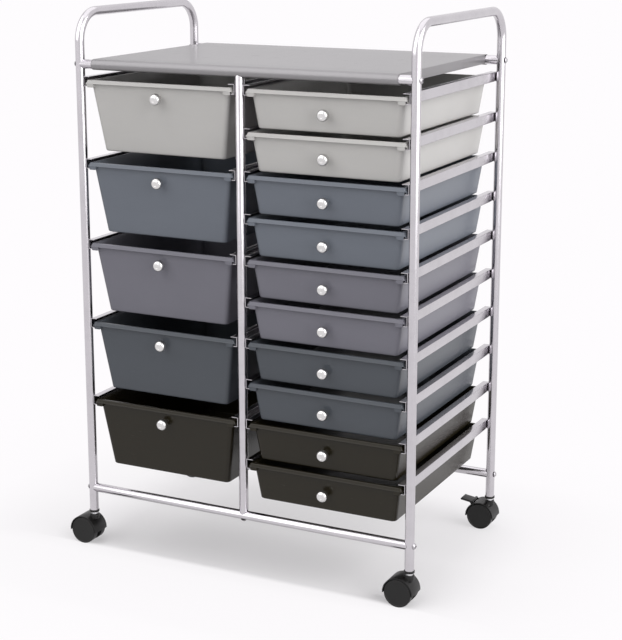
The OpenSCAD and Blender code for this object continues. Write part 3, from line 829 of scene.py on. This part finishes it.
def frame_bolts():
    """Ten domed bolts: eight through the legs and two up through the bottom bars."""
    reach = LEG_X + TUBE_R + SEAT
    places = []
    for side in SIDES.values():
        for end in ENDS.values():
            for z in (TOP_BAR_Z, BOTTOM_BAR_Z):
                places.append(((side * reach, end * LEG_Y, z),
                               Euler((0.2 * end, -side * math.pi / 2, 0.0))))
    for end in ENDS.values():
        places.append(((0, end * LEG_Y, BOTTOM_BAR_Z - TUBE_R - SEAT), Euler((0, 0, 0.4))))
    head = settle(bolt_head(), "frame_bolt", 30)
    made = scatter("frame_bolt_heads", head, places, "frame_bolt")
    return deliver(settle(made, "frame_bolt", 30), "frame", "frame_bolts")


def top_panel():
    """The grey top: a skin rolled round both bars, turned-down ends and ribs underneath."""
    sizes = settings("tower_panel")
    low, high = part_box("top_panel")
    t, inner = sizes.skin, TUBE_R + SEAT
    outer = inner + t
    arc_steps, spans = 22, 9
    mid = (outer + inner) / 2

    def roll(sign, radius, start, stop):
        return [(sign * (LEG_Y + radius * math.sin(a)), TOP_BAR_Z + radius * math.cos(a))
                for a in np.linspace(start, stop, arc_steps)]

    def flat(radius, start, stop):
        return [(y, TOP_BAR_Z + radius) for y in np.linspace(start, stop, spans)[1:-1]]

    def thinned(x, y, z, share):
        """A point of the section, drawn towards the middle of the sheet."""
        if abs(y) > LEG_Y:
            away = np.array([abs(y) - LEG_Y, z - TOP_BAR_Z])
            radius = np.linalg.norm(away)
            away *= (mid + (radius - mid) * share) / radius
            return x, math.copysign(LEG_Y + away[0], y), TOP_BAR_Z + away[1]
        if z > TOP_BAR_Z:
            return x, y, TOP_BAR_Z + mid + (z - TOP_BAR_Z - mid) * share
        return x, y, z

    # Round the front edge from underneath, over the top, round the rear edge and back inside
    section = np.array([*roll(-1, outer, math.pi, 0), *flat(outer, -LEG_Y, LEG_Y),
                        *roll(1, outer, 0, math.pi), *roll(1, inner, math.pi, 0),
                        *flat(inner, LEG_Y, -LEG_Y), *roll(-1, inner, 0, math.pi)])
    soft, support, thin = 0.0004, 0.003, 0.45
    rings = [[thinned(x, y, z, share) for y, z in section] for x, share in (
        (low.x, thin), (low.x + soft, 1.0), (low.x + support, 1.0),
        (high.x - support, 1.0), (high.x - soft, 1.0), (high.x, thin))]
    skin = close_sheet(lofted("panel_skin", rings, caps=False), rings)
    skirt_top, half_y, inset, edge = TOP_BAR_Z + mid, LEG_Y - inner, 0.00005, 0.0003
    parts = [skin]
    for x0 in (low.x + inset, high.x - t - inset):
        parts.append(block("panel_skirt", (x0, -half_y, high.z - sizes.skirt),
                           (x0 + t, half_y, skirt_top), edge))
    rib_low = high.z - t - sizes.rib_depth
    step = (high.x - low.x) / sizes.rib_bays
    rib = block("rib", (-sizes.rib_width / 2, -half_y, rib_low),
                (sizes.rib_width / 2, half_y, skirt_top), edge)
    places = [((low.x + k * step, 0, 0), Euler((0, 0, 0))) for k in range(1, sizes.rib_bays)]
    parts.append(scatter("cross_ribs", rib, places, "top_panel"))
    for sign in (-1, 1):
        y = sign * LEG_Y / 3
        parts.append(block("long_rib", (low.x + t, y - sizes.rib_width / 2, rib_low),
                           (high.x - t, y + sizes.rib_width / 2, skirt_top), edge))
    made = joined("top_panel_sheet", parts)
    return finished(made, "frame", "top_panel", "top_panel", 40)


def close_sheet(piece, rings):
    """Closes the two ends of a lofted sheet: each ring is a long thin outline, so the end
    faces run across its thickness, from one point to the point opposite."""
    count = len(rings[0])
    with editing(piece.data) as work:
        work.verts.ensure_lookup_table()
        for start in (0, (len(rings) - 1) * count):
            for j in range(count // 2 - 1):
                a, b = start + j, start + j + 1
                c, d = start + count - 2 - j, start + count - 1 - j
                work.faces.new([work.verts[i] for i in (a, b, c, d)])
    return piece


# ---------------------------------------------------------------- drawers and knobs

class DrawerForm:
    """The rings of one drawer, about the middle of its rails. Its body has its node's name."""

    def __init__(self, node):
        self.sizes = settings("tower_drawer")
        low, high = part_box(node)
        self.node = node
        self.centre_x = (low.x + high.x) / 2
        self.rail_z = high.z - self.sizes.rim_rise
        self.skirt = (high.x - low.x) / 2
        self.front, self.rear = low.y, high.y
        self.drop = self.rail_z - low.z
        rail_low, rail_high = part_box("right_side_rails")
        self.rail_front = rail_low.y
        self.rail_reach = rail_high.x - rail_low.x
        self.rim_height = 0.0098

    def ring(self, half, front, rear, corner, height, bow=0.0):
        """A rounded rectangle with a few points along each side. Height may be a function of
        y, and bow draws the middle of each wall inwards."""
        arc_steps, support = 9, 0.0025
        arcs = []
        for x, y, start in ((half, front, -90), (half, rear, 0), (-half, rear, 90),
                            (-half, front, 180)):
            middle_x = x - math.copysign(corner, x)
            middle_y = y + corner if y == front else y - corner
            turn = [math.radians(start + 90 * k / arc_steps) for k in range(arc_steps + 1)]
            arcs.append([np.array((middle_x + corner * math.cos(a),
                                   middle_y + corner * math.sin(a))) for a in turn])
        points = []
        for arc, after in zip(arcs, arcs[1:] + arcs[:1]):
            run = after[0] - arc[-1]
            length = np.linalg.norm(run)
            inward = np.array((-run[1], run[0])) / length
            points += arc
            for share in (support / length, 0.2, 0.4, 0.6, 0.8, 1 - support / length):
                sink = bow * math.sin(math.pi * share) ** 1.5
                points.append(arc[-1] + run * share + inward * sink)
        return [(self.centre_x + x, y,
                 self.rail_z + (height(y) if callable(height) else height)) for x, y in points]

    def body_ring(self, z, inset, rounding=0.0, bow=0.0):
        """Outline of the tapering body at a height, moved inwards by an inset."""
        s = self.sizes
        depth = s.rim_rise - z
        side = self.skirt - s.body_inset - inset - rounding - depth * math.tan(s.side_lean)
        lean = depth * math.tan(s.front_lean)
        front = self.front + s.lip_width + inset + rounding + lean
        rear = self.rear - s.lip_width - inset - rounding - lean
        corner = max(s.corner - inset - rounding * 0.5, 0.001)
        return self.ring(side, front, rear, corner, z, bow)

    def rim_ring(self, z, inset, corner=0.005):
        """Outline of the flared rim at a height below its top."""
        s = self.sizes
        share = (s.rim_rise - (z(self.rear) if callable(z) else z)) / self.rim_height
        out = s.flare * (1 - share)
        lean = s.flare / 2 * (1 - share)
        return self.ring(self.skirt - out - inset, self.front + lean + inset,
                         self.rear - lean - inset, max(corner - inset, 0.001), z)

    def hem(self, lift=0.0):
        """Height of the rim's lower edge: the front lip is less deep than the sides."""
        s = self.sizes
        behind_lip = self.front + s.lip_width * 0.75

        def height(y):
            deep = s.lip_height if y < behind_lip else self.rim_height
            return s.rim_rise - deep + lift
        return height

    def shell(self):
        """The whole drawer as one skin: out over the floor, walls and rim, and back inside."""
        s = self.sizes
        t, edge = s.wall, s.floor_edge
        floor, top, under = -self.drop, s.rim_rise, s.rim_rise - t
        heart, support, soft = 0.45 * self.skirt, 0.002, 0.0004
        fillet, roll, lip = 0.0012, 0.0014, 0.001
        walls = np.linspace(floor + edge + 0.003, under - 0.004, 5)
        middle_z, span = (walls[0] + walls[-1]) / 2, (walls[-1] - walls[0]) / 2

        def wall(z, inset):
            bow = s.bow * max(0.0, 1 - ((z - middle_z) / span) ** 2)
            return self.body_ring(z, inset, 0.0, bow)

        # Out over the floor, up the walls and round under the rim
        rings = [self.body_ring(floor, 0.0, heart), self.body_ring(floor, 0.0, edge + support)]
        rings += [self.body_ring(floor + edge * gained, 0.0, edge * left)
                  for left, gained in quarter(5)]
        rings += [wall(z, 0.0) for z in walls]
        rings += [self.body_ring(under - fillet * left, -fillet * gained)
                  for left, gained in quarter(3)]
        # Down the skirt's inside, round its lower edge and up to the roll of the rim
        skirt = [(under, t + 0.0006), (under - 0.0006, t), (self.hem(soft), t),
                 (self.hem(0.0), t - soft), (self.hem(0.0), soft), (self.hem(soft), 0.0),
                 (top - 0.0032, 0.0)]
        skirt += [(top - roll * left, roll * gained) for left, gained in quarter(4)]
        rings += [self.rim_ring(z, inset) for z, inset in [*skirt, (top, roll + fillet)]]
        # Over the rim and back down the inside
        rings.append(self.body_ring(top, t - lip - fillet))
        rings += [self.body_ring(top - lip * gained, t - lip * left)
                  for left, gained in quarter(4)]
        rings += [wall(z, t) for z in np.linspace(top - 0.005, floor + t + edge + support, 5)]
        inner = edge - t
        rings += [self.body_ring(floor + t + inner * left, t, inner * gained)
                  for left, gained in quarter(4)]
        rings += [self.body_ring(floor + t, t, rounding) for rounding in (inner + support, heart)]
        return lofted("drawer_shell", rings)

    def tabs(self):
        """The two stop tabs under the lip, each a rounded plate before two short webs."""
        s = self.sizes
        bay, soft, corner = self.skirt + 0.0034, 0.0004, 0.0022
        outer = self.skirt - s.flare - s.wall / 2
        inner = outer - s.tab_width
        front = self.rail_front - settings("tower_caster").face_gap - s.wall
        bottom = self.rail_z + s.rim_rise - s.lip_height - s.tab_height
        plate_top, web_top = bottom + s.tab_height + s.wall, self.rail_z + s.rim_rise - s.wall / 2
        webs = (inner, bay - self.rail_reach - s.rail_play - s.wall)
        made = []
        for side in SIDES.values():
            outline = rounded([(inner, plate_top), (inner, bottom), (outer, bottom),
                               (outer, plate_top)], [0, corner, corner, 0], 5)
            middle_x, half = (inner + outer) / 2, s.tab_width / 2
            rings = []
            for depth, inset in ((0.0, soft), (soft, 0.0), (s.wall - soft, 0.0),
                                 (s.wall, soft)):
                share = 1 - inset / half
                rings.append([(self.centre_x + side * (middle_x + (x - middle_x) * share),
                               front + depth, z + inset * (z < plate_top)) for x, z in outline])
            made.append(lofted("tab", rings))
            for web in webs:
                low, high = sorted((side * web, side * (web + s.wall)))
                made.append(block("tab_web", (self.centre_x + low, front + s.wall / 2,
                                              bottom + 0.0006),
                                  (self.centre_x + high, self.front + s.lip_width + s.corner
                                   - s.wall, web_top), 0.0003))
        return made


def wall_seat(form, drop):
    """The point and outward direction of a knob's seat on the front wall."""
    s = form.sizes
    lean = (s.rim_rise + drop) * math.tan(s.front_lean)
    place = Vector((form.centre_x, form.front + s.lip_width + lean, form.rail_z - drop))
    return place, Vector((0, -math.cos(s.front_lean), -math.sin(s.front_lean)))


def drawer(form, slot):
    made = joined(form.node + "_moulding", [form.shell(), *form.tabs()])
    return finished(made, form.node, form.node, slot, 38)


def knob(form, node, drop):
    """A satin knob on its neck, and the head of the screw inside the drawer."""
    s = form.sizes
    place, out = wall_seat(form, drop)
    neck, reach, seat, soft = s.knob_neck / 2, s.knob_reach, 0.0002, 0.0003
    edge = 0.4 * s.knob_depth
    flat, side = s.knob / 2 - edge, s.knob_depth / 2 - edge
    start = -math.acos((neck - flat) / edge)
    back = [(flat + edge * math.cos(a), reach - side + edge * math.sin(a))
            for a in np.linspace(start, 0, 14)]
    front = [(flat + edge * math.cos(a), reach + side + edge * math.sin(a))
             for a in np.linspace(0, math.pi / 2, 14)]
    crown = reach + s.knob_depth / 2
    dish = rounded([front[-1], (flat * 0.86, crown), (flat * 0.74, crown - soft), (0, crown)],
                   [0, soft, 0.0004, 0], 3)
    outline = [(0, seat), (neck - soft, seat), (neck, seat + soft), *back, *front, *dish[1:]]
    parts = [turned("ball", outline, place, out, 56)]
    head_r, inside = s.knob_screw / 2, -(s.wall + SEAT)
    dome = rounded([(0, inside), (head_r, inside), (head_r, inside - 0.0022),
                    (0, inside - 0.0026)], [0, 0.0002, 0.0013, 0], 5)
    parts.append(turned("screw_head", dome, place, out, 32))
    return finished(joined(node + "_ball", parts), form.node, node, "knob_silver", 40)


# ---------------------------------------------------------------- casters

def leg_place(end, side, z):
    return Vector((SIDES[side] * LEG_X, ENDS[end] * LEG_Y, z))


def caster_sockets():
    """Black plugs in the legs' feet, each with a rounded collar."""
    low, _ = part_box("caster_sockets")
    sizes = settings("tower_caster")
    low.z -= sizes.ring
    bore, collar, plug = sizes.stem / 2 + SEAT, TUBE_R + 0.0011, TUBE_R - 0.0014
    shoulder, top = FOOT_Z - low.z - SEAT, 0.02
    outline = rounded([(bore, 0), (collar, 0), (collar, shoulder), (plug, shoulder),
                       (plug, top), (bore, top)],
                      [0.0003, 0.0009, 0.0006, 0.0002, 0.0005, 0.0003], 3, closed=True)
    parts = [turned("socket", outline, leg_place(end, side, low.z), (0, 0, 1), 40, True)
             for end, side in CORNERS]
    made = joined("caster_socket_plugs", parts)
    return finished(made, "frame", "caster_sockets", "caster_black", 35)


def caster_stems():
    """Steel stems with the collar that the hoods turn against."""
    low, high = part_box("caster_stems")
    sizes = settings("tower_caster")
    r = sizes.stem / 2
    collar_r = extent("caster_stems", 0) / 2 - LEG_X
    socket_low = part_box("caster_sockets")[0].z - sizes.ring
    collar_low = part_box("front_left_hood")[1].z + sizes.face_gap - sizes.neck
    outline = rounded([(0, low.z), (r, low.z), (r, collar_low), (collar_r, collar_low),
                       (collar_r, socket_low), (r, socket_low), (r, high.z), (0, high.z)],
                      [0, 0.0005, 0.0002, 0.0003, 0.0003, 0.0002, 0.0005, 0], 3)
    parts = [turned("stem", outline, leg_place(end, side, 0), (0, 0, 1), 32)
             for end, side in CORNERS]
    made = joined("caster_stem_pins", parts)
    return finished(made, "frame", "caster_stems", "axle_steel", 35)


def softened(node, name, slot):
    """A copy of a CAD node with its sharp edges rounded."""
    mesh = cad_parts[node].data.copy()
    with editing(mesh) as work:
        bmesh.ops.remove_doubles(work, verts=work.verts, dist=2e-6)
        bmesh.ops.dissolve_limit(work, angle_limit=math.radians(0.5), verts=work.verts,
                                 edges=work.edges)
    piece = placed(name, mesh)
    edge = piece.modifiers.new("Edges", "BEVEL")
    edge.width = settings("tower_caster").edge
    edge.segments = 2
    edge.limit_method = "ANGLE"
    edge.angle_limit = math.radians(35)
    edge.use_clamp_overlap = True
    return settle(baked(piece, name), slot, 40)


def caster(end, side):
    """Hood, wheels, axle and, at the rear, the brake lever."""
    name = f"{end}_{side}"
    sizes = settings("tower_caster")
    axle = leg_place(end, side, sizes.wheel / 2) - Vector((sizes.trail, 0, 0))
    hood = softened(name + "_hood", name + "_hood_cover", "caster_black")
    # The top of the hood's boss is lowered, which bares the steel neck
    boss_r, band = 0.011, 0.001
    swivel, top = leg_place(end, side, 0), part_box(name + "_hood")[1].z
    for point in hood.data.vertices:
        if point.co.z > top - band and (point.co.xy - swivel.xy).length < boss_r:
            point.co.z -= sizes.neck
    deliver(hood, name + "_caster", name + "_hood")
    if end == "rear":
        lever = softened(name + "_brake_lever", name + "_pedal", "caster_black")
        deliver(lever, name + "_brake", name + "_brake_lever")
    r, inner = sizes.wheel / 2, sizes.web / 2 + sizes.face_gap
    outer = inner + sizes.tread
    bore, hub, rim, cap = 0.0031, 0.006, r - 0.003, 0.0005
    disc, face, pocket = outer - 0.0026, outer - 0.0006, outer - 0.0022
    outline = rounded([(bore, inner), (hub, inner), (hub, disc), (rim, disc), (rim, inner),
                       (r, inner), (r, outer), (r - 0.0024, outer), (r - 0.0030, face),
                       (0.004, face), (cap, face), (cap, pocket), (bore, pocket)],
                      [0, 0.0004, 0.0008, 0.0008, 0.0004, 0.0006, 0.0016, 0.0003, 0.0003,
                       0, 0, 0, 0], 4, closed=True)
    parts = [turned("wheel", outline, axle, (0, sign, 0), 96, True) for sign in (-1, 1)]
    finished(joined(name + "_wheel_discs", parts), name + "_wheel_pair", name + "_wheels",
             "wheel_black", 30)
    half = extent(name + "_axle", 1) / 2
    pin = rounded([(0, -half), (0.003, -half), (0.003, half), (0, half)],
                  [0, 0.0004, 0.0004, 0], 3)
    finished(turned(name + "_axle_pin", pin, axle, (0, 1, 0), 32), name + "_wheel_pair",
             name + "_axle", "axle_steel", 35)


# ---------------------------------------------------------------- stage

def seen_rays(graph):
    """1 for the rays that see the background: from the camera, off metal and through glass."""
    rays = graph.make("ShaderNodeLightPath")
    kinds = ("Is Camera Ray", "Is Glossy Ray", "Is Transmission Ray")
    camera, glossy, through = (Value(graph, rays.outputs[kind]) for kind in kinds)
    return (camera + glossy + through).smaller(1.0)


def sweep_material(tint):
    """Pale floor that fades into the backdrop, with the shadow kept near the tower and painted
    into shape by position masks.
    """
    s = Shader("Pale sweep")
    grain = s.noise(3.0, 3.0)
    # The lit floor's colour is darker than the backdrop's glow, which deepens the shadow: painted
    # shade
    lit = s.node("ShaderNodeBsdfDiffuse", {}, {
        "Color": s.mix(grain * 0.06, shade(tint, 0.85), shade(tint, 0.82))})
    glow = s.node("ShaderNodeEmission", {}, {"Color": rgba(tint), "Strength": 1.0})
    parts = s.make("ShaderNodeSeparateXYZ", {}, (s.place,))
    x, y = Value(s, parts.outputs["X"]), Value(s, parts.outputs["Y"])
    # reach is 1 along the line of the legs, and rounder further out; the painted shadow's front
    # edge is crisper
    reach = ((x / (LEG_X + 0.05)) ** 4.0 + (y / (LEG_Y + 0.07)) ** 4.0) ** 0.25
    # Painted shade under the tower: the shadow is darkest at the front and lighter towards the
    # middle and back
    inside = s.ramp(y * 1.25 + 0.25, (0.0, 0.13), (0.25, 0.54), (0.5, 0.56))
    # Painted shadow: the shadow fades out round the line of the legs
    soft = s.ramp(reach * 0.25, (0.21, 0.0), (0.29, 0.62), (0.44, 0.95), (0.62, 1.0))
    # Painted shadow edge: a crisp step just in front of the front legs
    front = s.ramp(y * -4.0, (0.785, 0.0), (0.84, 0.74), (1.0, 0.86))
    away = inside + soft.larger(front) * (1.0 - inside)
    shown = s.node("ShaderNodeMixShader", {}, (seen_rays(s) * away, lit, glow))
    end = s.make("ShaderNodeOutputMaterial")
    s.tree.links.new(shown.socket, end.inputs["Surface"])
    return s.material


def studio_world(tint, sky):
    """The backdrop's colour wherever it is seen, and a soft light from above for the rest."""
    world = bpy.data.worlds.new("Soft room")
    world.use_nodes = True
    g = Graph(world.node_tree)
    g.tree.nodes.clear()
    way = g.node("ShaderNodeTexCoord", output="Generated")
    up = Value(g, g.make("ShaderNodeSeparateXYZ", {}, (way,)).outputs["Z"])
    level = g.node("ShaderNodeValToRGB", {"stops": [
        (0.00, 0.95), (0.46, 0.90), (0.52, 0.60), (0.70, 0.78), (1.00, 1.0)]},
        {"Fac": up * 0.5 + 0.5})
    room = g.node("ShaderNodeBackground", {}, {"Color": level, "Strength": sky})
    plain = g.node("ShaderNodeBackground", {}, {"Color": rgba(tint), "Strength": 1.0})
    both = g.node("ShaderNodeMixShader", {}, (seen_rays(g), room, plain))
    end = g.make("ShaderNodeOutputWorld")
    g.tree.links.new(both.socket, end.inputs["Surface"])
    return world


def softbox(name, place, aim, size, power):
    """A square area light that looks at a point."""
    data = bpy.data.lights.new(name, "AREA")
    data.shape = "SQUARE"
    data.size = size
    data.energy = power
    lamp = placed(name, data)
    lamp.location = place
    lamp.rotation_euler = (Vector(aim) - Vector(place)).to_track_quat("-Z", "Y").to_euler()
    return lamp


def build_stage():
    stage = settings("tower_stage")
    reach, sides = 0.95, 96
    floor = mesh_piece("floor", [(reach * math.cos(math.tau * k / sides),
                                  reach * math.sin(math.tau * k / sides), 0)
                                 for k in range(sides)], [tuple(range(sides))])
    floor.data.materials.append(sweep_material(stage.floor))
    bpy.context.scene.world = studio_world(stage.floor, stage.sky)
    aim = (0, 0, 0.45)
    softbox("overhead_softbox", (-0.2, 0.6, 3.2), aim, 3.0, stage.overhead)
    softbox("front_softbox", (-1.6, -2.5, 2.9), aim, 4.8, stage.front)
    softbox("side_softbox", (3.4, -0.8, 1.9), aim, 4.0, stage.side)
    data = bpy.data.cameras.new("camera")
    data.lens = stage.focal
    data.sensor_width = 36.0
    data.shift_y = stage.shift
    camera = placed("camera", data)
    camera.location = (stage.camera_x, stage.camera_y, stage.camera_z)
    camera.rotation_euler = (math.pi / 2 - stage.tilt, 0.0, stage.turn)
    bpy.context.scene.camera = camera
    bpy.context.scene.view_settings.view_transform = "Standard"


# ---------------------------------------------------------------- operators and panel

class TOWER_OT_frame(bpy.types.Operator):
    """Make the bent side tubes, the cross bars, the posts and their bolts"""
    bl_idname = "tower.frame"
    bl_label = "Tube frame"

    def execute(self, context):
        for side in SIDES:
            side_tube(side)
        for end in ENDS:
            cross_bar(end, "top")
            cross_bar(end, "bottom")
            centre_post(end)
        frame_bolts()
        return {"FINISHED"}


class TOWER_OT_rails(bpy.types.Operator):
    """Make the folded rails that carry the drawers"""
    bl_idname = "tower.rails"
    bl_label = "Rails"

    def execute(self, context):
        for node in ("left_side_rails", "center_left_rails", "center_right_rails",
                     "right_side_rails"):
            rail_stack(node)
        return {"FINISHED"}


class TOWER_OT_panel(bpy.types.Operator):
    """Make the top panel with its rolled edges"""
    bl_idname = "tower.panel"
    bl_label = "Top panel"

    def execute(self, context):
        top_panel()
        return {"FINISHED"}


class TOWER_OT_drawers(bpy.types.Operator):
    """Make the deep and shallow drawers with their knobs"""
    bl_idname = "tower.drawers"
    bl_label = "Drawers and knobs"

    def execute(self, context):
        sizes = settings("tower_drawer")
        for kind, rows in (("deep", DEEP_ROWS), ("shallow", SHALLOW_ROWS)):
            for row in range(1, rows + 1):
                node = f"{kind}_drawer_{row}"
                form = DrawerForm(node)
                tint = ROW_COLOURS[(row - 1) * DEEP_ROWS // rows]
                drawer(form, "drawer_" + tint)
                drop = sizes.deep_knob_drop if kind == "deep" else form.drop / 2
                knob(form, f"{kind}_knob_{row}", drop)
        return {"FINISHED"}


class TOWER_OT_casters(bpy.types.Operator):
    """Make the sockets, stems and four casters"""
    bl_idname = "tower.casters"
    bl_label = "Casters"

    def execute(self, context):
        caster_sockets()
        caster_stems()
        for end, side in CORNERS:
            caster(end, side)
        return {"FINISHED"}


class TOWER_OT_stage(bpy.types.Operator):
    """Make the pale floor, the soft lights and the camera"""
    bl_idname = "tower.stage"
    bl_label = "Stage"

    def execute(self, context):
        build_stage()
        return {"FINISHED"}


OPERATORS = (TOWER_OT_frame, TOWER_OT_rails, TOWER_OT_panel, TOWER_OT_drawers,
             TOWER_OT_casters, TOWER_OT_stage)


class TOWER_PT_sidebar(bpy.types.Panel):
    """Lists the tower's pieces and their sizes"""
    bl_idname = "TOWER_PT_sidebar"
    bl_label = "Drawer tower"
    bl_space_type = "VIEW_3D"
    bl_region_type = "UI"
    bl_category = "Drawer tower"

    def draw(self, context):
        for operator in OPERATORS:
            self.layout.operator(operator.bl_idname)
        for name, group in GROUPS.items():
            box = self.layout.box()
            box.label(text=group.__doc__)
            for key in group.__annotations__:
                box.prop(getattr(context.scene, name), key)


CLASSES = (*GROUPS.values(), *OPERATORS, TOWER_PT_sidebar)


def register():
    for cls in CLASSES:
        bpy.utils.register_class(cls)
    for name, group in GROUPS.items():
        setattr(bpy.types.Scene, name, bpy.props.PointerProperty(type=group))


def unregister():
    for name in GROUPS:
        delattr(bpy.types.Scene, name)
    for cls in reversed(CLASSES):
        bpy.utils.unregister_class(cls)


def main():
    """Makes every piece, and the floor, lights and camera."""
    register()
    bpy.ops.tower.frame()
    bpy.ops.tower.rails()
    bpy.ops.tower.panel()
    bpy.ops.tower.drawers()
    bpy.ops.tower.casters()
    bpy.ops.tower.stage()


if __name__ == "__main__":
    main()
